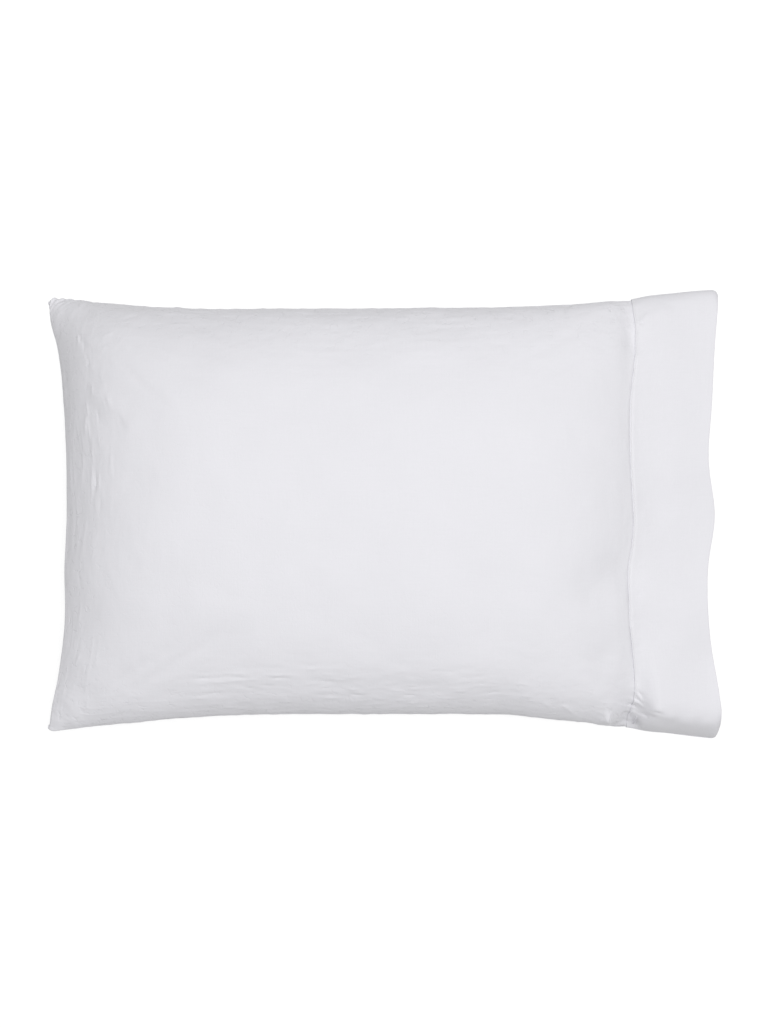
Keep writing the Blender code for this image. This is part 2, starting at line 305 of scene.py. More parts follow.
# Soft hollows and swellings of the cuff's upper layer.
CUFF_SWELLS = [
    Fold(0.312, 0.012, 0.322, 0.004, 0.017, -0.0022),
    Fold(0.312, -0.128, 0.324, -0.136, 0.018, -0.0024),
    Fold(0.338, 0.200, 0.344, 0.186, 0.028, 0.0020),
    Fold(0.352, 0.090, 0.356, 0.060, 0.026, 0.0018),
    Fold(0.366, -0.120, 0.372, -0.132, 0.024, 0.0026),
    Fold(0.320, -0.200, 0.330, -0.176, 0.022, 0.0014),
    Fold(0.319, -0.232, 0.324, -0.232, 0.007, 0.0018),
    Fold(0.333, -0.239, 0.338, -0.240, 0.007, 0.0020),
    Fold(0.354, -0.246, 0.360, -0.247, 0.008, 0.0020),
    Fold(0.380, -0.250, 0.384, -0.248, 0.007, 0.0014),
]

# ---------------------------------------------------------------- sewing and filling

# The flat cut of each panel between its seams, with the ease that the filling takes up.
CUT_LENGTH = 0.722
CUT_WIDTH = 0.545

# The cloth simulation's own threads, and how far filling may move the cloth from its form.
SIM_STEP = 0.0055
SIM_FRAMES = 30
SIM_MOST_MOVE = 0.0045
# How far from a corner the stuffing keeps the cloth from creasing, and how many times the
# filled shape is evened out there.
CORNER_CALM = 0.230
CORNER_PASSES = 40

# Points of a panel as shown: closest at a seam, then even as far as the creases reach, then
# wide over the smooth crown. Distance from the nearest seam, and spacing there.
SHOWN_FROM_SEAM = (0.0, 0.006, 0.075, 0.150)
CREASED_SPACING = (0.0007, 0.00085, 0.00086, 0.0048)
CALMER_SPACING = (0.0008, 0.0014, 0.0015, 0.0048)
CUFF_SEAM_SPACING = (0.0005, 0.0011, 0.0034, 0.0034)
CUFF_MOUTH_SPACING = (0.0018, 0.0020, 0.0022, 0.0022)
CUFF_NEAR_SPACING = (0.0010, 0.0010, 0.0016, 0.0024)
CUFF_FAR_SPACING = (0.0012, 0.0014, 0.0020, 0.0024)
CREST_SOFTNESS = 0.0003
CREASE_WANDER = 0.0016
CREASE_BREAK = 0.0075
MEASURED_POINTS = 361

# A turned seam lies this deep between its two panels, and its valley is this wide.
SEAM_DEPTH = 0.0020
SEAM_VALLEY = 0.0022

SEAM_HOLLOW = 0.0024
SEAM_HOLLOW_REACH = 0.018

# How far the cuff's sewn edge stands out of the bag, and how far from it the bag dips below
# it, at these places along the seam.
SeamStep = namedtuple("SeamStep", "y step dip")
SEAM_STEPS = [
    SeamStep(-0.250, 0.0022, 0.0022),
    SeamStep(-0.215, 0.0024, 0.0030),
    SeamStep(-0.170, 0.0014, 0.0028),
    SeamStep(-0.140, 0.0008, 0.0026),
    SeamStep(-0.125, 0.0000, 0.0016),
    SeamStep(-0.110, 0.0002, 0.0018),
    SeamStep(-0.098, 0.0006, 0.0026),
    SeamStep(-0.075, 0.0005, 0.0026),
    SeamStep(-0.062, -0.0003, 0.0014),
    SeamStep(-0.045, -0.0002, 0.0014),
    SeamStep(-0.030, 0.0002, 0.0020),
    SeamStep(0.050, 0.0000, 0.0018),
    SeamStep(0.100, 0.0001, 0.0018),
    SeamStep(0.130, 0.0002, 0.0020),
    SeamStep(0.140, -0.0001, 0.0014),
    SeamStep(0.150, 0.0003, 0.0022),
    SeamStep(0.158, 0.0000, 0.0016),
    SeamStep(0.168, 0.0006, 0.0026),
    SeamStep(0.177, -0.0003, 0.0012),
    SeamStep(0.190, 0.0014, 0.0026),
    SeamStep(0.220, 0.0024, 0.0026),
    SeamStep(0.244, 0.0016, 0.0022),
    SeamStep(0.254, 0.0006, 0.0016),
]

# The face stands fuller just in from these edges, so that the cloth rolls over them.
NEAR_ROLL = 0.0225
NEAR_ROLL_AT_SEAM = 0.0020
NEAR_ROLL_GROWS = 0.030
NEAR_DROP = 0.0050
NEAR_DROP_REACH = 0.008
NEAR_ROLL_REACH = 0.026
FAR_ROLL = 0.0020
FAR_ROLL_REACH = 0.014
ROLL_START = 0.36

# Short folds that a seam draws into its cloth, square to it.
Gather = namedtuple("Gather", "seed spacing width reach height")
FAR_GATHER = Gather(11, 0.0200, 0.0040, 0.010, 0.0030)
NEAR_GATHER = Gather(23, 0.0180, 0.0042, 0.012, 0.0023)
CLOSED_GATHER = Gather(35, 0.0170, 0.0042, 0.020, 0.0010)
CUFF_SEAM_GATHER = Gather(47, 0.0140, 0.0026, 0.008, 0.0006)
CUFF_SIDE_GATHER = Gather(59, 0.0120, 0.0028, 0.010, 0.0006)

# ---------------------------------------------------------------- finish

LINEN_WHITE = (0.802, 0.797, 0.833)
THREAD_WHITE = (0.84, 0.84, 0.86)

CAMERA_LENS = 100.0
CAMERA_SENSOR = 36.0
PHOTO_LONG_SIDE = 1.220  # metres of the outline's plane that the photograph's height takes in
OUTLINE_HEIGHT = 0.045
PHOTO_CENTRE = (0.0012, 0.0006)


# ---------------------------------------------------------------- the case's form


def smooth_between(rows, key, column, at):
    """The rows' column at these values of their key, on one smooth curve through them all."""
    keys = np.array([getattr(row, key) for row in rows])
    values = np.array([getattr(row, column) for row in rows])
    last = len(rows) - 1
    lower = np.maximum(np.arange(last + 1) - 1, 0)
    upper = np.minimum(np.arange(last + 1) + 1, last)
    slopes = (values[upper] - values[lower]) / (keys[upper] - keys[lower])
    at = np.clip(at, keys[0], keys[-1])
    i = np.clip(np.searchsorted(keys, at) - 1, 0, last - 1)
    span = keys[i + 1] - keys[i]
    t = (at - keys[i]) / span
    return (
        (1 + 2 * t) * (1 - t) ** 2 * values[i]
        + t * (1 - t) ** 2 * span * slopes[i]
        + t * t * (3 - 2 * t) * values[i + 1]
        + t * t * (t - 1) * span * slopes[i + 1]
    )


def section_at(x, column):
    return smooth_between(SECTIONS, "x", column, x)


def closed_end(across):
    drawn = CLOSED_END_DRAW * (1 - np.abs(across) ** CLOSED_END_FULLNESS)
    return CLOSED_END_X + drawn + smooth_between(WANDERS, "across", "closed", across)


def seam_line(across):
    return SEAM_X + smooth_between(WANDERS, "across", "seam", across)


def cuff_start(across):
    return seam_line(across) + CUFF_GAP


def mouth_line(across):
    return MOUTH_X + smooth_between(WANDERS, "across", "mouth", across)


def laid_down(z):
    """Heights pressed flat on the surface at z = 0, with a soft turn where they lift off."""
    soft = (z + BACK_SOFTNESS) ** 2 / (4 * BACK_SOFTNESS)
    return np.where(np.abs(z) < BACK_SOFTNESS, soft, np.maximum(z, 0))


def corner_cut(depth):
    """How much narrower the case is this near to an end, for its rounded corner."""
    left = np.clip(CORNER_RADIUS - depth, 0, CORNER_RADIUS)
    return CORNER_RADIUS - np.sqrt(CORNER_RADIUS**2 - left**2)


def wave_height(y, share):
    return share * sum(w.height * np.exp(-(((y - w.y) / w.reach) ** 2)) for w in WAVES)


def skin(x, across, bulge, side, proud, wave):
    """Points of the case's skin. side is 1 on the face and -1 on the back."""
    depth = np.maximum(x - closed_end(across), 0)
    far, near = section_at(x, "far"), section_at(x, "near")
    corner = np.where(across < 0, -1.0, 1.0)
    half = (far - near) / 2 + proud - corner_cut(x - closed_end(corner)) - corner_cut(mouth_line(corner) - x)
    y = (far + near) / 2 + half * across
    toward_end = np.clip(1 - depth / SHOULDER_RUN, 0, 1)
    lift = section_at(x, "lift") + CLOSED_END_LIFT * (1 - across**2) * toward_end**2
    for low in DROOPS:
        near_it = ((x - low.x) / low.reach_x) ** 2 + ((y - low.y) / low.reach_y) ** 2
        lift = lift - low.depth * np.exp(-near_it)
    rise = bulge * (1 - toward_end**SHOULDER_FULLNESS) ** (1 / SHOULDER_FULLNESS)
    rise = rise * (1 - END_PINCH * np.exp(-depth / END_PINCH_REACH))
    if side < 0:
        z = laid_down(lift - (section_at(x, "belly") + proud) * rise)
    else:
        crown = section_at(x, "top") + proud - lift
        z = lift + rise * (crown + wave_height(y, wave))
    return np.stack([x, y, z], axis=-1)


def measured_panel(side, start, end, proud=0.0, waved=0.0):
    """A panel from one line across the case to another, as rows x columns x 5: each point's
    place, then how far across it lies and how much of its section's bulge it has."""
    share = np.linspace(0, 1, MEASURED_POINTS)[:, None] * np.ones(MEASURED_POINTS)
    turn = np.linspace(0, math.pi, MEASURED_POINTS) * np.ones((MEASURED_POINTS, 1))
    middle = start(0.0) + (end(0.0) - start(0.0)) * share
    fullness = section_at(middle, "fullness")
    sweep = -np.cos(turn)
    across = np.sign(sweep) * np.abs(sweep) ** (2 / fullness)
    bulge = np.maximum(np.sin(turn), 0) ** (2 / fullness)
    x = start(across) + (end(across) - start(across)) * share
    places = skin(x, across, bulge, side, proud, waved * share)
    return np.concatenate([places, across[..., None], bulge[..., None]], axis=-1)


def evenly_spaced(lines, count):
    """Each line of points again, with this many points evenly along it."""
    steps = np.linalg.norm(np.diff(lines[..., :3], axis=1), axis=2)
    run = np.pad(np.cumsum(steps, axis=1), ((0, 0), (1, 0)))
    run /= run[:, -1:]
    at = np.linspace(0, 1, count)
    return np.stack(
        [
            np.stack([np.interp(at, run[i], line[:, k]) for k in range(line.shape[1])], axis=1)
            for i, line in enumerate(lines)
        ]
    )


def woven(panel, rows, columns):
    """A panel's surface again, with its points even along it and across it, as threads lie."""
    along = evenly_spaced(panel.transpose(1, 0, 2), rows).transpose(1, 0, 2)
    return evenly_spaced(along, columns)


def curve_through(values, shares):
    """Values along the first axis at these shares of it, on smooth curves through them."""
    last = len(values) - 1
    at = np.clip(shares * last, 0, last)
    i = np.minimum(at.astype(int), last - 1)
    t = (at - i).reshape(-1, *[1] * (values.ndim - 1))
    before, after = values[np.maximum(i - 1, 0)], values[np.minimum(i + 2, last)]
    here, there = values[i], values[i + 1]
    bend = 2 * before - 5 * here + 4 * there - after + t * (3 * (here - there) + after - before)
    return here + t / 2 * (there - before + t * bend)


def finer(panel, row_shares, column_shares):
    rows = curve_through(panel, row_shares)
    return curve_through(rows.transpose(1, 0, 2), column_shares).transpose(1, 0, 2)


def graded_shares(length, first_spacing, last_spacing):
    """Shares of a length, closest together at its ends and wider in its middle."""
    at = np.linspace(0, length, 4001)
    spacing = np.minimum(
        np.interp(at, SHOWN_FROM_SEAM, first_spacing),
        np.interp(length - at, SHOWN_FROM_SEAM, last_spacing),
    )
    run = np.cumsum(1 / spacing) * (at[1] - at[0])
    run -= run[0]
    count = 2 * round(run[-1] / 2)
    return np.interp(np.linspace(0, run[-1], count + 1), run, at) / length


def outward(points, side):
    """The outward unit normals of a panel of points."""
    along, across = np.gradient(points, axis=0), np.gradient(points, axis=1)
    normals = np.cross(along, across) * side
    return normals / np.maximum(np.linalg.norm(normals, axis=2, keepdims=True), 1e-12)


# ---------------------------------------------------------------- filling the bag


def quads_of(index, side):
    """Faces of a grid of point numbers, turned outwards."""
    faces = np.stack([index[:-1, :-1], index[1:, :-1], index[1:, 1:], index[:-1, 1:]], axis=-1)
    faces = faces.reshape(-1, 4)
    return faces if side > 0 else faces[:, ::-1]


def sewn_index(rows, columns, open_end):
    """Point numbers of the face and the back, alike along every seam that joins them."""
    face = np.arange(rows * columns).reshape(rows, columns)
    back = face + rows * columns
    back[0], back[:, 0], back[:, -1] = face[0], face[:, 0], face[:, -1]
    if not open_end:
        back[-1] = face[-1]
    return face, back


def object_of(name, points, faces):
    data = bpy.data.meshes.new(name)
    data.from_pydata(points.tolist(), [], faces if isinstance(faces, list) else faces.tolist())
    data.shade_smooth()
    made = bpy.data.objects.new(name, data)
    bpy.context.scene.collection.objects.link(made)
    return made


def sewn_object(name, face, back, open_end, cut=None):
    """Face and back as one mesh, sewn at their shared edges. Returns it with both panels'
    point numbers in it, and cut's points in the same order."""
    face_index, back_index = sewn_index(*face.shape[:2], open_end)
    used = np.unique(np.concatenate([face_index.ravel(), back_index.ravel()]))
    number = np.zeros(2 * face_index.size, int)
    number[used] = np.arange(len(used))
    face_index, back_index = number[face_index], number[back_index]
    both = np.concatenate([face.reshape(-1, 3), back.reshape(-1, 3)])[used]
    faces = np.concatenate([quads_of(face_index, 1), quads_of(back_index, -1)])
    made = object_of(name, both, faces)
    flat = None if cut is None else np.concatenate([c.reshape(-1, 3) for c in cut])[used]
    return made, face_index, back_index, flat


def closed_bag(name, face, back, face_cut, back_cut):
    """The finished bag: the back has every second point of the face each way, and its edges
    also meet the points between, so that the sewn piece is closed all round."""
    face_index = np.arange(face[..., 0].size).reshape(face.shape[:2])
    back_index = face_index[::2, ::2].copy()
    inner = np.s_[1:-1, 1:-1]
    coarse, coarse_cut = back[::2, ::2][inner], back_cut[::2, ::2][inner]
    back_index[inner] = face_index.size + np.arange(coarse[..., 0].size).reshape(coarse.shape[:2])
    faces = quads_of(face_index, 1).tolist()
    last_row, last_column = back_index.shape[0] - 2, back_index.shape[1] - 2
    for i in range(last_row + 1):
        for j in range(last_column + 1):
            round_cell = [
                back_index[i, j],
                face_index[0, 2 * j + 1] if i == 0 else None,
                back_index[i, j + 1],
                face_index[2 * i + 1, -1] if j == last_column else None,
                back_index[i + 1, j + 1],
                face_index[-1, 2 * j + 1] if i == last_row else None,
                back_index[i + 1, j],
                face_index[2 * i + 1, 0] if j == 0 else None,
            ]
            faces.append([int(point) for point in round_cell if point is not None])
    points = np.concatenate([face.reshape(-1, 3), coarse.reshape(-1, 3)])
    bag = object_of(name, points, faces)
    mark_cut(bag, np.concatenate([face_cut.reshape(-1, 3), coarse_cut.reshape(-1, 3)]))
    return bag


def fill_bag(face, back):
    """Both panels as the filling holds them, their seams staying where they were measured."""
    rows, columns = face.shape[:2]
    along = np.linspace(0, CUT_LENGTH, rows)[:, None] * np.ones(columns)
    over = np.linspace(-0.5, 0.5, columns) * CUT_WIDTH * np.ones((rows, 1))
    flat = np.stack([along, over, np.zeros_like(along)], axis=-1)
    bag, face_index, back_index, cut = sewn_object("bag", face, back, True, (flat, flat))
    bag.shape_key_add(name="sewn")
    cut_key = bag.shape_key_add(name="flat cut")
    cut_key.data.foreach_set("co", cut.ravel())
    held = bag.vertex_groups.new(name="seams")
    seams = [face_index[0], face_index[:, 0], face_index[:, -1], face_index[-1], back_index[-1]]
    held.add([int(i) for i in np.unique(np.concatenate(seams))], 1.0, "REPLACE")

    bed = object_of(
        "bed",
        np.array([(-1, -1, -0.002), (1, -1, -0.002), (1, 1, -0.002), (-1, 1, -0.002)]),
        np.array([(0, 1, 2, 3)]),
    )
    bed.modifiers.new("bed", "COLLISION")
    bed.collision.thickness_outer = 0.002
    bed.collision.cloth_friction = 5

    cloth = bag.modifiers.new("filling", "CLOTH")
    linen = cloth.settings
    linen.quality = 8
    linen.mass = 0.0002
    linen.tension_stiffness = linen.compression_stiffness = 15
    linen.shear_stiffness = 5
    linen.bending_stiffness = 0.5
    linen.tension_damping = linen.compression_damping = linen.shear_damping = 5
    linen.bending_damping = 0.5
    linen.vertex_group_mass = held.name
    linen.pin_stiffness = 1.0
    linen.use_pressure = True
    linen.uniform_pressure_force = 4
    linen.rest_shape_key = cut_key
    linen.effector_weights.gravity = 0
    cloth.collision_settings.distance_min = 0.002
    cloth.collision_settings.collision_quality = 3
    cloth.point_cache.frame_end = SIM_FRAMES + 1
    cut_key.value = 0
    for number in range(1, SIM_FRAMES + 1):
        bpy.context.scene.frame_set(number)
    filled = bag.evaluated_get(bpy.context.evaluated_depsgraph_get()).data
    places = np.empty(len(filled.vertices) * 3)
    filled.vertices.foreach_get("co", places)
    places = places.reshape(-1, 3)
    for scratch in (bag, bed):
        data = scratch.data
        bpy.data.objects.remove(scratch)
        bpy.data.meshes.remove(data)
    bpy.context.scene.frame_set(1)

    from_corner = np.hypot(
        np.minimum(along, CUT_LENGTH - along), CUT_WIDTH / 2 - np.abs(over)
    )
    calm = np.exp(-((from_corner / CORNER_CALM) ** 2))[..., None]

    def eased(before, index):
        move = places[index] - before
        even = move.copy()
        for _ in range(CORNER_PASSES):
            even[1:-1] = (even[:-2] + 2 * even[1:-1] + even[2:]) / 4
            even[:, 1:-1] = (even[:, :-2] + 2 * even[:, 1:-1] + even[:, 2:]) / 4
        move = move + (even - move) * calm
        far = np.maximum(np.linalg.norm(move, axis=2, keepdims=True), 1e-9)
        most = SIM_MOST_MOVE * (1 - 0.65 * (along / CUT_LENGTH) ** 3)[..., None]
        return before + move * np.tanh(far / most) * most / far

    return eased(face, face_index), eased(back, back_index)


# ---------------------------------------------------------------- folds in the cloth


def fold_heights(x, y, folds):
    """How high these folds lift the cloth at each place seen from above."""
    total = np.zeros_like(x)
    for fold in folds:
        run_x, run_y = fold.x1 - fold.x0, fold.y1 - fold.y0
        share = ((x - fold.x0) * run_x + (y - fold.y0) * run_y) / (run_x**2 + run_y**2)
        share = np.clip(share, 0, 1)
        away = np.hypot(x - fold.x0 - share * run_x, y - fold.y0 - share * run_y)
        total += fold.height * np.exp(-((away / fold.reach) ** 2))
    return total


def crease_heights(x, y, creases):
    """As fold_heights, for creases that come to a sharp crest, wander and come and go."""
    total = np.zeros_like(x)
    depth = np.clip(0.95 + 0.9 * soft_noise(x, y, CREASE_BREAK, CREASE_BREAK, 63), 0.1, 2)
    x = x + CREASE_WANDER * soft_noise(x, y, CREASE_BREAK, CREASE_BREAK, 61)
    y = y + CREASE_WANDER * soft_noise(x, y, CREASE_BREAK, CREASE_BREAK, 62)
    for crease in creases:
        run_x, run_y = crease.x1 - crease.x0, crease.y1 - crease.y0
        share = ((x - crease.x0) * run_x + (y - crease.y0) * run_y) / (run_x**2 + run_y**2)
        beyond = np.clip(share, 0, 1)
        away = np.hypot(x - crease.x0 - beyond * run_x, y - crease.y0 - beyond * run_y)
        swell = 0.55 + 0.45 * np.sin(math.pi * beyond)
        crest = np.hypot(away, CREST_SOFTNESS) - CREST_SOFTNESS
        total += crease.height * swell * np.exp(-crest / crease.reach)
    return total * depth


def scattered_creases(scatter):
    """Fine creases strewn over a strip seen from above, most of them near to one direction."""
    draw = random.Random(scatter.seed)
    creases = []
    for _ in range(scatter.count):
        x, y = draw.uniform(scatter.x0, scatter.x1), draw.uniform(scatter.y0, scatter.y1)
        turn = math.radians(scatter.heading + draw.gauss(0, 28))
        half = scatter.length * draw.uniform(0.35, 1.3) / 2
        run_x, run_y = half * math.cos(turn), half * math.sin(turn)
        reach = draw.uniform(0.0009, 0.0015)
        height = scatter.height * draw.uniform(0.3, 1.0) * draw.choice((1, 1, -1))
        creases.append(Fold(x - run_x, y - run_y, x + run_x, y + run_y, reach, height))
    return creases


def gather_heights(along, away, length, gather):
    """Short folds square to a seam, at uneven distances along it."""
    draw = random.Random(gather.seed)
    total = np.zeros_like(along)
    at = 0.0
    while at < length:
        at += gather.spacing * draw.uniform(0.45, 1.6)
        width = gather.width * draw.uniform(0.7, 1.5)
        reach = gather.reach * draw.uniform(0.5, 1.7)
        height = gather.height * draw.uniform(0.3, 1.0) * draw.choice((1, 1, -1))
        slant = draw.uniform(-0.5, 0.5)
        line = (along - at - slant * away) / width
        total += height * np.exp(-(line**2)) * np.exp(-away / reach)
    return total * (1 - np.exp(-((away / 0.004) ** 2)))


def soft_noise(u, v, pitch_u, pitch_v, seed):
    """Smooth uneven values from -1 to 1, with this pitch each way."""
    random_values = np.random.default_rng(seed).uniform(-1, 1, (97, 97))
    u, v = u / pitch_u + 31.7, v / pitch_v + 47.3
    iu, iv = np.floor(u).astype(int), np.floor(v).astype(int)
    tu, tv = u - iu, v - iv
    tu, tv = tu**3 * (tu * (6 * tu - 15) + 10), tv**3 * (tv * (6 * tv - 15) + 10)

    def value(du, dv):
        return random_values[(iu + du) % 97, (iv + dv) % 97]

    near = value(0, 0) * (1 - tu) + value(1, 0) * tu
    far = value(0, 1) * (1 - tu) + value(1, 1) * tu
    return near * (1 - tv) + far * tv


def crumple_heights(u, v, from_side, from_end, seed):
    """The crumples of washed linen, which lie along the nearest seam where they are close."""
    slow_u = u + 0.010 * soft_noise(u, v, 0.045, 0.045, seed)
    slow_v = v + 0.010 * soft_noise(u, v, 0.045, 0.045, seed + 1)
    by_side = np.abs(soft_noise(slow_u, slow_v, 0.026, 0.0080, seed + 2))
    by_end = np.abs(soft_noise(slow_u, slow_v, 0.0080, 0.026, seed + 3))
    all_over = np.abs(soft_noise(slow_u, slow_v, 0.022, 0.020, seed + 4))
    near_side = np.exp(-((from_side / 0.085) ** 2))
    near_end = np.exp(-((from_end / 0.085) ** 2)) * (1 - 0.5 * near_side)
    return (
        0.00042 * near_side * (0.35 - by_side)
        + 0.00042 * near_end * (0.35 - by_end)
        + 0.00035 * (0.35 - all_over)
    )


def bag_heights(points, cut, bulge, side):
    """How far each point of a filled panel stands out of, or sinks into, the smooth skin."""
    u, v = cut[..., 0], cut[..., 1]
    from_side = CUT_WIDTH / 2 - np.abs(v)
    from_seam = np.maximum(CUT_LENGTH - u, 0)
    free = 1 - np.exp(-((np.minimum(from_side, u) / 0.006) ** 2))
    free_of_seam = 1 - np.exp(-((from_seam / 0.003) ** 2))
    seed = 100 if side > 0 else 200
    heights = crumple_heights(u, v, from_side, u, seed)
    heights += 0.0016 * soft_noise(u, v, 0.085, 0.075, seed + 7)
    heights += 0.0007 * soft_noise(u, v, 0.038, 0.034, seed + 8)
    heights += gather_heights(u, CUT_WIDTH / 2 - v, CUT_LENGTH, FAR_GATHER)
    heights += gather_heights(u, CUT_WIDTH / 2 + v, CUT_LENGTH, NEAR_GATHER)
    heights += gather_heights(v + CUT_WIDTH / 2, u, CUT_WIDTH, CLOSED_GATHER)
    heights += gather_heights(v + CUT_WIDTH / 2, from_seam, CUT_WIDTH, CUFF_SEAM_GATHER)
    if side < 0:
        return heights * free * free_of_seam
    x, y = points[..., 0], points[..., 1]
    heights += fold_heights(x, y, HOLLOWS)
    heights += crease_heights(x, y, CLOSED_END_CREASES + LONG_SIDE_CREASES)
    for scatter in SCATTERS:
        heights += crease_heights(x, y, scattered_creases(scatter))
    heights = heights * free_of_seam + seam_folds(x, y, bulge)
    heights -= seam_hollow(v, from_seam) + valley_depth(y, from_seam, "in_bag")
    from_far = CUT_WIDTH / 2 - v
    ripple = np.sin(2 * math.pi * (u + RIPPLE_SLANT * from_far) / RIPPLE_PITCH)
    ripple = ripple * np.exp(-from_far / RIPPLE_REACH) * np.exp(-((u / RIPPLE_RUN) ** 4))
    return heights * free + RIPPLE_HEIGHT * ripple


def seam_folds(x, y, bulge):
    """The folds that run on unbroken from the bag into the cuff."""
    heights = fold_heights(x, y, FOLDS) * bulge
    return heights + fold_heights(x, y, SEAM_HOLLOWS) + crease_heights(x, y, SEAM_END_CREASES)


def seam_hollow(v, from_seam):
    """How far the face sinks towards the cuff's seam, most at the seam's two ends."""
    ends = (2 * v / CUT_WIDTH) ** 2
    return SEAM_HOLLOW * (0.10 + 0.90 * ends) * np.exp(-((from_seam / SEAM_HOLLOW_REACH) ** 2))


def valley_depth(y, from_seam, column):
    """How far the cloth falls into the seam's valleys, steepest at the seam itself."""
    total = np.zeros_like(y)
    for valley in VALLEYS:
        slope = np.clip(1 - from_seam / getattr(valley, column), 0, 1) ** 2
        total += valley.depth * slope * np.exp(-(((y - valley.y) / valley.reach) ** 2))
    return total


def edge_roll(from_edge, reach):
    """A swell from 0 at an edge to 1 at this distance in from it, and slowly down again."""
    share = np.maximum(from_edge, 0) / reach
    return share * np.exp(1 - share)


def seam_pull(cut):
    """How far the turned seams draw the cloth in, as a sideways move of each point."""
    u, v = cut[..., 0], cut[..., 1]
    from_side = CUT_WIDTH / 2 - np.abs(v)
    along = SEAM_DEPTH * np.exp(-((np.maximum(u, 0) / SEAM_VALLEY) ** 2))
    over = -np.sign(v) * SEAM_DEPTH * np.exp(-((from_side / SEAM_VALLEY) ** 2))
    return np.stack([along, over, np.zeros_like(u)], axis=-1)


# ---------------------------------------------------------------- the bag


def cuff_thickness(u):
    """The cuff is thinner where its edge is turned in and sewn down."""
    return CUFF_THICKNESS - (CUFF_THICKNESS - CUFF_EDGE) * np.exp(-u / 0.006)


def tongue_rows(half_sleeve, half_cut, shares, side):
    """Rows that carry a panel on below the cuff, just clear of its inside."""
    below = cuff_thickness(half_cut[..., :1]) + TONGUE_CLEAR
    inside = half_sleeve - outward(half_sleeve, side) * below
    rows = np.searchsorted(half_cut[:, 0, 0], TONGUE_DEPTHS)
    width = half_cut[0, :, 1] / CUT_WIDTH + 0.5
    return np.stack(
        [np.stack([np.interp(shares, width, row[:, k]) for k in range(3)], -1) for row in inside[rows]]
    )


def tucked_rows(tongue, across):
    """Rows that close a panel over the end of the filling, from the end of its tongue."""
    x, y, z = (tongue[:, k] for k in range(3))
    middle = section_at(SEAM_X, "lift")
    rows = []
    for closing in np.linspace(0, math.pi / 2, TUCK_ROWS + 1)[1:]:
        row_x = x + TUCK_REACH * (1 - across**4) * math.sin(closing)
        row_y = y - TUCK_INSET * across * math.sin(closing)
        row_z = middle + (z - middle) * math.cos(closing)
        rows.append(np.stack([row_x, row_y, row_z], axis=-1))
    return np.stack(rows)


def make_bag(linen, half_sleeves, half_cuts):
    """Face and back, filled, folded, and closed over the filling's end: one closed piece."""
    rows, columns = round(CUT_LENGTH / SIM_STEP) + 1, round(CUT_WIDTH / SIM_STEP) + 1
    sewn = {side: woven(measured_panel(side, closed_end, seam_line), rows, columns) for side in (1, -1)}
    for edge in (np.s_[0, :], np.s_[:, 0], np.s_[:, -1]):
        sewn[-1][edge] = sewn[1][edge]
    filled = (sewn[1][..., :3], sewn[-1][..., :3])
    filled = fill_bag(*filled)
    row_shares = graded_shares(CUT_LENGTH, CREASED_SPACING, CALMER_SPACING)
    column_shares = graded_shares(CUT_WIDTH, CREASED_SPACING, CALMER_SPACING)
    u = (row_shares * CUT_LENGTH)[:, None] * np.ones(len(column_shares))
    v = ((column_shares - 0.5) * CUT_WIDTH) * np.ones((len(row_shares), 1))
    panels, cuts = [], []
    for side, places, half_sleeve, half_cut in zip((1, -1), filled, half_sleeves, half_cuts):
        points = finer(places, row_shares, column_shares)
        marks = finer(sewn[side], row_shares, column_shares)[..., 3:]
        cut = np.stack([u, v, np.full_like(u, 0.0 if side > 0 else 1.0)], axis=-1)
        heights = bag_heights(points, cut, marks[..., 1], side)
        points = points + outward(points, side) * heights[..., None] + seam_pull(cut)
        if side > 0:
            rolled = np.clip((u - ROLL_START) / (CUT_LENGTH - ROLL_START), 0, 1) ** 2
            near_edge = points[..., 1] - points[:, :1, 1]
            points[..., 2] += NEAR_ROLL_AT_SEAM * rolled * edge_roll(near_edge, NEAR_ROLL_REACH)
        points[..., 2] = np.maximum(points[..., 2], 0)
        tongue = tongue_rows(half_sleeve, half_cut, column_shares, side)
        away = np.maximum(CUT_LENGTH - u, 0)[..., None]
        from_side = CUT_WIDTH / 2 - np.abs(v)[..., None]
        dip_reach = smooth_between(SEAM_STEPS, "y", "dip", points[..., 1:2])
        dip_reach = dip_reach + 0.004 * np.exp(-((from_side / 0.006) ** 2))
        points += (tongue[0] - points[-1]) * np.exp(-((away / dip_reach) ** 2))
        tuck = np.concatenate([tongue[1:], tucked_rows(tongue[-1], marks[-1, :, 0])])
        tuck[..., 2] = np.maximum(tuck[..., 2], 0)
        tuck_u = CUT_LENGTH + 0.003 * np.arange(1, len(tuck) + 1)[:, None] * np.ones(len(v[0]))
        tuck_cut = np.stack([tuck_u, v[0] * np.ones_like(tuck_u), 0 * tuck_u + cut[0, 0, 2]], -1)
        panels.append(np.concatenate([points, tuck]))
        cuts.append(np.concatenate([cut, tuck_cut]))
    for edge in (np.s_[0, :], np.s_[-1, :], np.s_[:, 0], np.s_[:, -1]):
        panels[0][edge] = (panels[0][edge] + panels[1][edge]) / 2
    bag = closed_bag("filled_bag", *panels, *cuts)
    bag.data.materials.append(linen)
    return bag


def mark_cut(piece, cut):
    """Keeps each point's place on the flat cloth, which the weave follows."""
    piece.data.attributes.new("cut", "FLOAT_VECTOR", "POINT").data.foreach_set(
        "vector", cut.astype(np.float32).ravel()
    )


# ---------------------------------------------------------------- the cuff


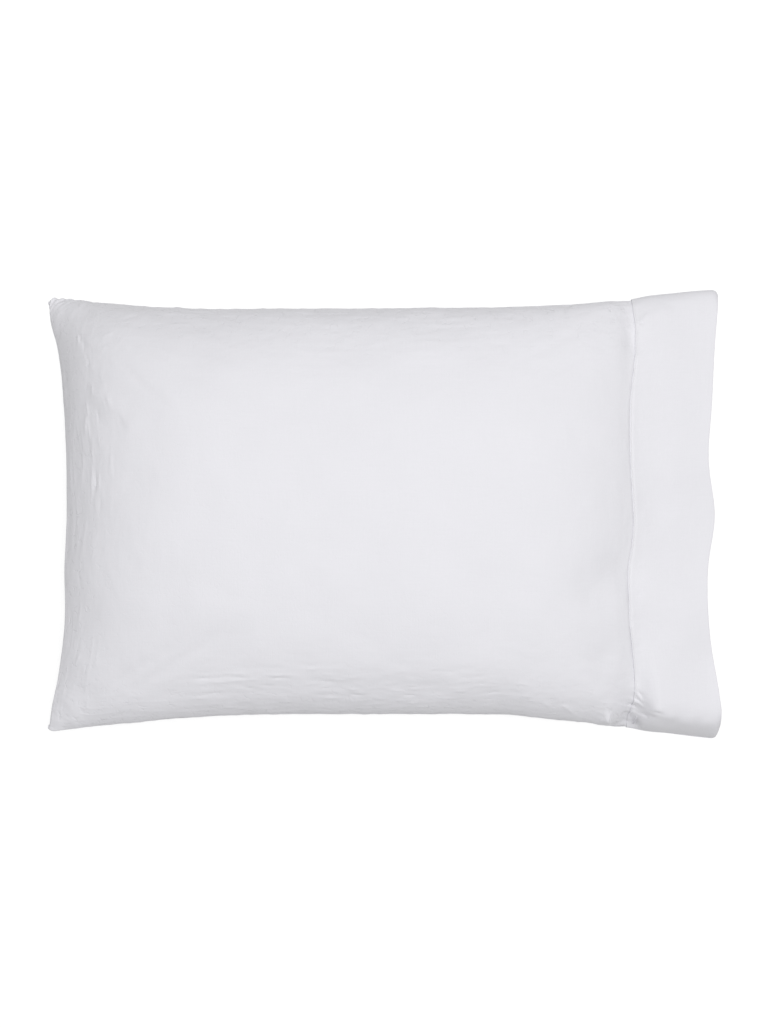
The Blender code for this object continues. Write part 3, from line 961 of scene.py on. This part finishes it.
def cuff_heights(points, cut, bulge, side):
    u, v = cut[..., 0], cut[..., 1]
    from_side = np.maximum(CUT_WIDTH / 2 - np.abs(v), 0)
    seed = 300 if side > 0 else 400
    heights = 0.00030 * (0.35 - np.abs(soft_noise(u, v, 0.020, 0.018, seed)))
    heights += 0.0008 * soft_noise(u, v, 0.060, 0.055, seed + 1)
    heights += gather_heights(v + CUT_WIDTH / 2, u, CUT_WIDTH, CUFF_SIDE_GATHER)
    heights -= 0.00035 * np.exp(-(((u - STITCH_IN) / 0.0009) ** 2))
    step = smooth_between(SEAM_STEPS, "y", "step", points[..., 1])
    heights += (step - CUFF_PROUD) * np.exp(-((u / 0.0030) ** 2))
    if side > 0:
        x, y = points[..., 0], points[..., 1]
        heights += seam_folds(x, y, bulge) + fold_heights(x, y, CUFF_SWELLS)
        heights += crease_heights(x, y, CUFF_TICKS)
        heights -= seam_hollow(v, u) + valley_depth(y, u, "in_cuff")
    return heights * (1 - np.exp(-((from_side / 0.006) ** 2)))


def cuff_skin():
    """The cuff's outside as one sleeve, rows from seam to mouth and columns all round it."""
    row_shares = graded_shares(MOUTH_X - SEAM_X, CUFF_SEAM_SPACING, CUFF_MOUTH_SPACING)
    column_shares = graded_shares(CUT_WIDTH, CUFF_NEAR_SPACING, CUFF_FAR_SPACING)
    halves, cuts = [], []
    for side in (1, -1):
        measured = measured_panel(side, cuff_start, mouth_line, CUFF_PROUD, 1.0)
        even = woven(measured, len(row_shares), len(column_shares))
        even = finer(even, row_shares, column_shares)
        points, bulge = even[..., :3], even[..., 4]
        u = (row_shares * (MOUTH_X - SEAM_X))[:, None] * np.ones(len(column_shares))
        v = (column_shares - 0.5) * CUT_WIDTH * np.ones((len(row_shares), 1))
        cut = np.stack([u, v, np.full_like(u, 2.0 if side > 0 else 3.0)], axis=-1)
        heights = cuff_heights(points, cut, bulge, side)
        points = points + outward(points, side) * heights[..., None]
        mouthward = np.clip(u / 0.060, 0, 1)
        if side > 0:
            near_edge = points[..., 1] - points[:, :1, 1]
            far_edge = points[:, -1:, 1] - points[..., 1]
            grown = np.clip(u / NEAR_ROLL_GROWS, 0, 1) ** 2 * (3 - 2 * np.clip(u / NEAR_ROLL_GROWS, 0, 1))
            near_roll = NEAR_ROLL_AT_SEAM + (NEAR_ROLL - NEAR_ROLL_AT_SEAM) * grown
            points[..., 2] += near_roll * edge_roll(near_edge, NEAR_ROLL_REACH)
            points[..., 2] -= NEAR_DROP * mouthward * np.exp(-near_edge / NEAR_DROP_REACH)
            points[..., 2] += FAR_ROLL * edge_roll(far_edge, FAR_ROLL_REACH)
        else:
            near_edge = points[..., 1] - points[:, :1, 1]
            points[..., 2] -= NEAR_DROP * mouthward * np.exp(-near_edge / NEAR_DROP_REACH)
        halves.append(points)
        cuts.append(cut)
    face, back = halves
    sleeve = np.concatenate([face[:, :-1], back[:, :0:-1]], axis=1)
    sleeve_cut = np.concatenate([cuts[0][:, :-1], cuts[1][:, :0:-1]], axis=1)
    sleeve[..., 2] = np.maximum(sleeve[..., 2], 0)
    return sleeve, sleeve_cut, halves, cuts


def round_the_sleeve(values):
    """np.gradient round a closed sleeve of columns."""
    return (np.roll(values, -1, axis=1) - np.roll(values, 1, axis=1)) / 2


def make_cuff(linen, sleeve, cut):
    """The doubled band: its outside, the fold at the mouth, its inside and its sewn edge."""
    along = np.gradient(sleeve, axis=0)
    along /= np.linalg.norm(along, axis=2, keepdims=True)
    normals = np.cross(along, round_the_sleeve(sleeve))
    normals /= np.linalg.norm(normals, axis=2, keepdims=True)
    radius = CUFF_THICKNESS / 2
    rings, ring_cuts = list(sleeve), list(cut)
    for turn in np.linspace(0, math.pi, 7)[1:]:
        ahead, down = radius * math.sin(turn), radius * (1 - math.cos(turn))
        rings.append(sleeve[-1] + along[-1] * ahead - normals[-1] * down)
        ring_cuts.append(cut[-1] + np.array([radius * turn, 0, 0]))
    for row in range(len(sleeve) - 4, 1, -3):
        rings.append(sleeve[row] - normals[row] * cuff_thickness(cut[row, :, :1]))
        ring_cuts.append(cut[row] + np.array([0, 0, 2.0]))
    radius = CUFF_EDGE / 2
    for turn in np.linspace(math.pi, 0, 7)[:-1]:
        ahead, down = radius * math.sin(turn), radius * (1 - math.cos(turn))
        rings.append(sleeve[0] - along[0] * ahead - normals[0] * down)
        ring_cuts.append(cut[0] - np.array([radius * turn, 0, 0]))
    rings, ring_cuts = np.stack(rings), np.stack(ring_cuts)
    rings[..., 2] = np.maximum(rings[..., 2], 0)
    index = np.arange(rings.shape[0] * rings.shape[1]).reshape(rings.shape[:2])
    index = np.concatenate([index, index[:1]])
    index = np.concatenate([index, index[:, :1]], axis=1)
    cuff = object_of("hem_band", rings.reshape(-1, 3), quads_of(index, 1))
    mark_cut(cuff, ring_cuts.reshape(-1, 3))
    cuff.data.materials.append(linen)
    return cuff


STITCH_PITCH = 0.0030
STITCH_LENGTH = 0.0022
THREAD_RADIUS = 0.00022
STITCH_IN = 0.0020
STITCH_SIDES = 6
STITCH_RINGS = 5


def make_stitches(thread, sleeve, cut):
    """One row of stitches on the cuff, beside its seam."""
    row = int(np.argmin(np.abs(cut[:, 0, 0] - STITCH_IN)))
    line = sleeve[row]
    along = np.gradient(sleeve, axis=0)[row]
    out = np.cross(along, round_the_sleeve(sleeve)[row])
    out /= np.linalg.norm(out, axis=1, keepdims=True)
    steps = np.linalg.norm(np.roll(line, -1, axis=0) - line, axis=1)
    run = np.concatenate([[0], np.cumsum(steps)])
    closed, closed_out = np.vstack([line, line[:1]]), np.vstack([out, out[:1]])
    count = int(run[-1] / STITCH_PITCH)
    centres = (np.arange(count) + 0.5) * run[-1] / count
    rings, sides = STITCH_RINGS, STITCH_SIDES
    offsets = np.linspace(-0.5, 0.5, rings)
    at = centres[:, None] + offsets * STITCH_LENGTH
    place = np.stack([np.interp(at, run, closed[:, k]) for k in range(3)], axis=-1)
    normal = np.stack([np.interp(at, run, closed_out[:, k]) for k in range(3)], axis=-1)
    normal /= np.linalg.norm(normal, axis=-1, keepdims=True)
    ahead = np.gradient(place, axis=1)
    ahead /= np.linalg.norm(ahead, axis=-1, keepdims=True)
    beside = np.cross(ahead, normal)
    arch = 1 - (2 * offsets) ** 2
    place = place + normal * (THREAD_RADIUS * (1.6 * arch - 0.9))[:, None]
    girth = THREAD_RADIUS * (0.45 + 0.55 * np.sqrt(arch))
    turns = np.linspace(0, 2 * math.pi, sides, endpoint=False)
    points = (
        place[:, :, None]
        + beside[:, :, None] * (girth[:, None] * np.cos(turns))[..., None]
        + normal[:, :, None] * (girth[:, None] * np.sin(turns))[..., None]
    )
    index = np.arange(count * rings * sides).reshape(count, rings, sides)
    wrapped = np.concatenate([index, index[:, :, :1]], axis=2)
    sleeves = [quads_of(one, -1) for one in wrapped]
    ends = [list(one[0]) for one in index] + [list(one[-1][::-1]) for one in index]
    data = bpy.data.meshes.new("seam_stitches")
    data.from_pydata(points.reshape(-1, 3).tolist(), [], np.concatenate(sleeves).tolist() + [[int(i) for i in e] for e in ends])
    data.shade_smooth()
    stitches = bpy.data.objects.new("seam_stitches", data)
    bpy.context.scene.collection.objects.link(stitches)
    data.materials.append(thread)
    return stitches


# ---------------------------------------------------------------- materials


def new_material(name):
    material = bpy.data.materials.new(name)
    material.use_nodes = True
    return material, material.node_tree, material.node_tree.nodes["Principled BSDF"]


def math_node(tree, operation, first, second=None, third=None):
    node = tree.nodes.new("ShaderNodeMath")
    node.operation = operation
    for socket, value in zip(node.inputs, (first, second, third)):
        if value is None:
            continue
        if isinstance(value, (int, float)):
            socket.default_value = value
        else:
            tree.links.new(value, socket)
    return node.outputs[0]


def stretched(tree, vector, scale):
    node = tree.nodes.new("ShaderNodeVectorMath")
    node.operation = "MULTIPLY"
    tree.links.new(vector, node.inputs[0])
    node.inputs[1].default_value = scale
    return node.outputs[0]


def noise_of(tree, vector, scale, detail=3.0, roughness=0.5, distortion=0.0):
    node = tree.nodes.new("ShaderNodeTexNoise")
    tree.links.new(vector, node.inputs["Vector"])
    node.inputs["Scale"].default_value = scale
    node.inputs["Detail"].default_value = detail
    node.inputs["Roughness"].default_value = roughness
    node.inputs["Distortion"].default_value = distortion
    return node.outputs["Fac"]


def fading(tree, value, from_min, from_max, to_min, to_max):
    node = tree.nodes.new("ShaderNodeMapRange")
    node.interpolation_type = "SMOOTHSTEP"
    tree.links.new(value, node.inputs["Value"])
    bounds = (("From Min", from_min), ("From Max", from_max), ("To Min", to_min), ("To Max", to_max))
    for socket, bound in bounds:
        node.inputs[socket].default_value = bound
    return node.outputs[0]


def linen_weave_group():
    """Plain-weave linen: uneven threads both ways, faint crumples, and a soft change of tone.
    Its coordinates are places on the flat cloth, in metres, and its heights millimetres."""
    group = bpy.data.node_groups.new("linen weave", "ShaderNodeTree")
    face = group.interface
    face.new_socket("Cut", in_out="INPUT", socket_type="NodeSocketVector")
    face.new_socket("White", in_out="INPUT", socket_type="NodeSocketColor")
    face.new_socket("Slub", in_out="INPUT", socket_type="NodeSocketFloat")
    face.new_socket("Crumple", in_out="INPUT", socket_type="NodeSocketFloat")
    face.new_socket("Crinkle", in_out="INPUT", socket_type="NodeSocketFloat")
    face.new_socket("Colour", in_out="OUTPUT", socket_type="NodeSocketColor")
    face.new_socket("Roughness", in_out="OUTPUT", socket_type="NodeSocketFloat")
    face.new_socket("Height", in_out="OUTPUT", socket_type="NodeSocketFloat")
    given = group.nodes.new("NodeGroupInput")
    result = group.nodes.new("NodeGroupOutput")
    cut = given.outputs["Cut"]

    warp_slub = noise_of(group, stretched(group, cut, (28, 1150, 7)), 1.0, 2.0, 0.6)
    weft_slub = noise_of(group, stretched(group, cut, (1150, 28, 7)), 1.0, 2.0, 0.6)
    slub = math_node(group, "SUBTRACT", math_node(group, "ADD", warp_slub, weft_slub), 1.0)

    apart = group.nodes.new("ShaderNodeSeparateXYZ")
    group.links.new(cut, apart.inputs[0])
    thread = 2 * math.pi / 0.0011
    warp = math_node(group, "SINE", math_node(group, "MULTIPLY", apart.outputs[0], thread))
    weft = math_node(group, "SINE", math_node(group, "MULTIPLY", apart.outputs[1], thread))
    weave = math_node(group, "MULTIPLY", warp, weft)

    crumple = noise_of(group, stretched(group, cut, (120, 120, 7)), 1.0, 3.0, 0.55, 0.6)
    crease = math_node(group, "ABSOLUTE", math_node(group, "SUBTRACT", crumple, 0.5))
    tone = noise_of(group, stretched(group, cut, (18, 18, 5)), 1.0, 3.0, 0.5)

    cracks = group.nodes.new("ShaderNodeTexVoronoi")
    cracks.feature = "DISTANCE_TO_EDGE"
    strayed = group.nodes.new("ShaderNodeVectorMath")
    strayed.operation = "MULTIPLY_ADD"
    stray = group.nodes.new("ShaderNodeTexNoise")
    group.links.new(stretched(group, cut, (60, 60, 7)), stray.inputs["Vector"])
    stray.inputs["Scale"].default_value = 1.0
    group.links.new(stray.outputs["Color"], strayed.inputs[0])
    strayed.inputs[1].default_value = (0.9, 0.9, 0)
    group.links.new(stretched(group, cut, (62, 62, 7)), strayed.inputs[2])
    group.links.new(strayed.outputs[0], cracks.inputs["Vector"])
    cracks.inputs["Scale"].default_value = 1.5
    line = fading(group, cracks.outputs["Distance"], 0.0, 0.09, 1.0, 0.0)
    broken = noise_of(group, stretched(group, cut, (90, 90, 3)), 1.0, 2.0, 0.6)
    broken = fading(group, broken, 0.50, 0.64, 0.0, 1.0)
    from_side = math_node(group, "ABSOLUTE", apart.outputs[1])
    from_side = math_node(group, "SUBTRACT", CUT_WIDTH / 2, from_side)
    from_edge = math_node(group, "MINIMUM", from_side, apart.outputs[0])
    margin = fading(group, from_edge, 0.010, 0.110, 1.0, 0.18)
    crinkle = math_node(group, "MULTIPLY", math_node(group, "MULTIPLY", line, broken), margin)
    patches = noise_of(group, stretched(group, cut, (64, 64, 9)), 1.0, 2.0, 0.6)
    patches = fading(group, patches, 0.50, 0.64, 0.0, 1.0)
    for lengths, near in (((50, 130, 7), from_side),):
        streak = noise_of(group, stretched(group, cut, lengths), 1.0, 2.0, 0.55, 0.8)
        streak = math_node(group, "ABSOLUTE", math_node(group, "SUBTRACT", streak, 0.5))
        streak = fading(group, streak, 0.0, 0.050, 1.0, 0.0)
        streak = math_node(group, "MULTIPLY", streak, fading(group, near, 0.012, 0.090, 0.8, 0.0))
        crinkle = math_node(group, "MULTIPLY_ADD", streak, patches, crinkle)

    height = math_node(group, "MULTIPLY", weave, 0.010)
    height = math_node(group, "MULTIPLY_ADD", slub, given.outputs["Slub"], height)
    crumpled = math_node(group, "MULTIPLY", crease, given.outputs["Crumple"])
    height = math_node(group, "SUBTRACT", height, crumpled)
    crinkled = math_node(group, "MULTIPLY", crinkle, given.outputs["Crinkle"])
    height = math_node(group, "SUBTRACT", height, crinkled)
    group.links.new(height, result.inputs["Height"])

    shade = math_node(group, "MULTIPLY_ADD", slub, 0.035, 1.0)
    shade = math_node(group, "MULTIPLY_ADD", math_node(group, "SUBTRACT", tone, 0.5), 0.03, shade)
    tinted = group.nodes.new("ShaderNodeVectorMath")
    tinted.operation = "SCALE"
    group.links.new(given.outputs["White"], tinted.inputs[0])
    group.links.new(shade, tinted.inputs["Scale"])
    group.links.new(tinted.outputs[0], result.inputs["Colour"])
    rough = math_node(group, "MULTIPLY_ADD", slub, 0.06, 0.90)
    group.links.new(rough, result.inputs["Roughness"])
    return group


def linen_material(name, group, white, slub, crumple, crinkle):
    material, tree, shader = new_material(name)
    cut = tree.nodes.new("ShaderNodeAttribute")
    cut.attribute_name = "cut"
    weave = tree.nodes.new("ShaderNodeGroup")
    weave.node_tree = group
    tree.links.new(cut.outputs["Vector"], weave.inputs["Cut"])
    weave.inputs["White"].default_value = (*white, 1)
    weave.inputs["Slub"].default_value = slub
    weave.inputs["Crumple"].default_value = crumple
    weave.inputs["Crinkle"].default_value = crinkle
    bump = tree.nodes.new("ShaderNodeBump")
    bump.inputs["Strength"].default_value = 1.0
    bump.inputs["Distance"].default_value = 0.001
    tree.links.new(weave.outputs["Height"], bump.inputs["Height"])
    tree.links.new(weave.outputs["Colour"], shader.inputs["Base Color"])
    tree.links.new(weave.outputs["Roughness"], shader.inputs["Roughness"])
    tree.links.new(bump.outputs["Normal"], shader.inputs["Normal"])
    shader.inputs["Specular IOR Level"].default_value = 0.25
    shader.inputs["Sheen Weight"].default_value = 0.35
    shader.inputs["Sheen Roughness"].default_value = 0.5
    return material


def thread_material():
    material, tree, shader = new_material("sewing thread")
    place = tree.nodes.new("ShaderNodeTexCoord")
    twist = noise_of(tree, place.outputs["Object"], 900.0, 2.0)
    ramp = tree.nodes.new("ShaderNodeValToRGB")
    ramp.color_ramp.elements[0].color = (*[c * 0.90 for c in THREAD_WHITE], 1)
    ramp.color_ramp.elements[1].color = (*THREAD_WHITE, 1)
    tree.links.new(twist, ramp.inputs[0])
    tree.links.new(ramp.outputs[0], shader.inputs["Base Color"])
    shader.inputs["Roughness"].default_value = 0.7
    return material


# ---------------------------------------------------------------- studio

FLOOR_RADIUS = 24.0
FLOOR_DROP = 0.0004
FLOOR_WHITE = 0.63
FLOOR_SHADED = 0.30
FLOOR_GLOW = 0.80
SKY_STRENGTH = 0.392
KEY_PLACE = (0.56, 0.42, 4.62)
KEY_SIZE = 2.6
KEY_POWER = 144.0


def make_floor():
    data = bpy.data.meshes.new("floor")
    turns = np.linspace(0, 2 * math.pi, 97)[:-1]
    rim = [(FLOOR_RADIUS * math.cos(t), FLOOR_RADIUS * math.sin(t), -FLOOR_DROP) for t in turns]
    data.from_pydata(rim, [], [list(range(len(rim)))])
    floor = bpy.data.objects.new("floor", data)
    bpy.context.scene.collection.objects.link(floor)
    material, tree, shader = new_material("studio floor")
    shader.inputs["Roughness"].default_value = 1.0
    shader.inputs["Specular IOR Level"].default_value = 0.0
    shader.inputs["Emission Color"].default_value = (1, 1, 1, 1)
    seen = tree.nodes.new("ShaderNodeLightPath").outputs["Is Camera Ray"]
    tree.links.new(math_node(tree, "MULTIPLY", seen, FLOOR_GLOW), shader.inputs["Emission Strength"])
    white = math_node(tree, "MULTIPLY_ADD", seen, FLOOR_SHADED - FLOOR_WHITE, FLOOR_WHITE)
    tree.links.new(white, shader.inputs["Base Color"])
    data.materials.append(material)
    return floor


def light_studio():
    world = bpy.data.worlds.new("studio")
    bpy.context.scene.world = world
    world.use_nodes = True
    tree = world.node_tree
    sky = tree.nodes["Background"]
    sky.inputs["Color"].default_value = (1.0, 1.0, 1.0, 1)
    seen = tree.nodes.new("ShaderNodeLightPath").outputs["Is Camera Ray"]
    brighter = math_node(tree, "MULTIPLY_ADD", seen, 1.05 - SKY_STRENGTH, SKY_STRENGTH)
    tree.links.new(brighter, sky.inputs["Strength"])
    lamp = bpy.data.lights.new("softbox", "AREA")
    lamp.shape = "DISK"
    lamp.size = KEY_SIZE
    lamp.energy = KEY_POWER
    key = bpy.data.objects.new("softbox", lamp)
    key.location = KEY_PLACE
    toward = np.array(KEY_PLACE)
    key.rotation_euler = (
        math.atan2(-toward[1], toward[2]) * -1.0,
        math.atan2(toward[0], math.hypot(toward[1], toward[2])),
        0,
    )
    bpy.context.scene.collection.objects.link(key)


def place_camera():
    data = bpy.data.cameras.new("camera")
    data.lens = CAMERA_LENS
    data.sensor_width = CAMERA_SENSOR
    camera = bpy.data.objects.new("camera", data)
    distance = PHOTO_LONG_SIDE * CAMERA_LENS / CAMERA_SENSOR
    camera.location = (*PHOTO_CENTRE, OUTLINE_HEIGHT + distance)
    data.clip_start, data.clip_end = 0.1, 100
    bpy.context.scene.collection.objects.link(camera)
    bpy.context.scene.camera = camera


# ---------------------------------------------------------------- the scene

place_camera()
make_floor()
light_studio()
bpy.context.scene.view_settings.view_transform = "Standard"

weave_group = linen_weave_group()
body_linen = linen_material("washed linen, body", weave_group, LINEN_WHITE, 0.05, 0.30, 0.34)
cuff_linen = linen_material("washed linen, cuff", weave_group, LINEN_WHITE, 0.05, 0.20, 0.10)
sewing_thread = thread_material()

sleeve, sleeve_cut, half_sleeves, half_cuts = cuff_skin()
bag = make_bag(body_linen, half_sleeves, half_cuts)
cuff = make_cuff(cuff_linen, sleeve, sleeve_cut)
stitches = make_stitches(sewing_thread, sleeve, sleeve_cut)

for piece, slot in ((bag, "linen_body"), (cuff, "linen_cuff"), (stitches, "linen_cuff")):
    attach(piece, "root")
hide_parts("case_body")
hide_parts("hem_cuff")
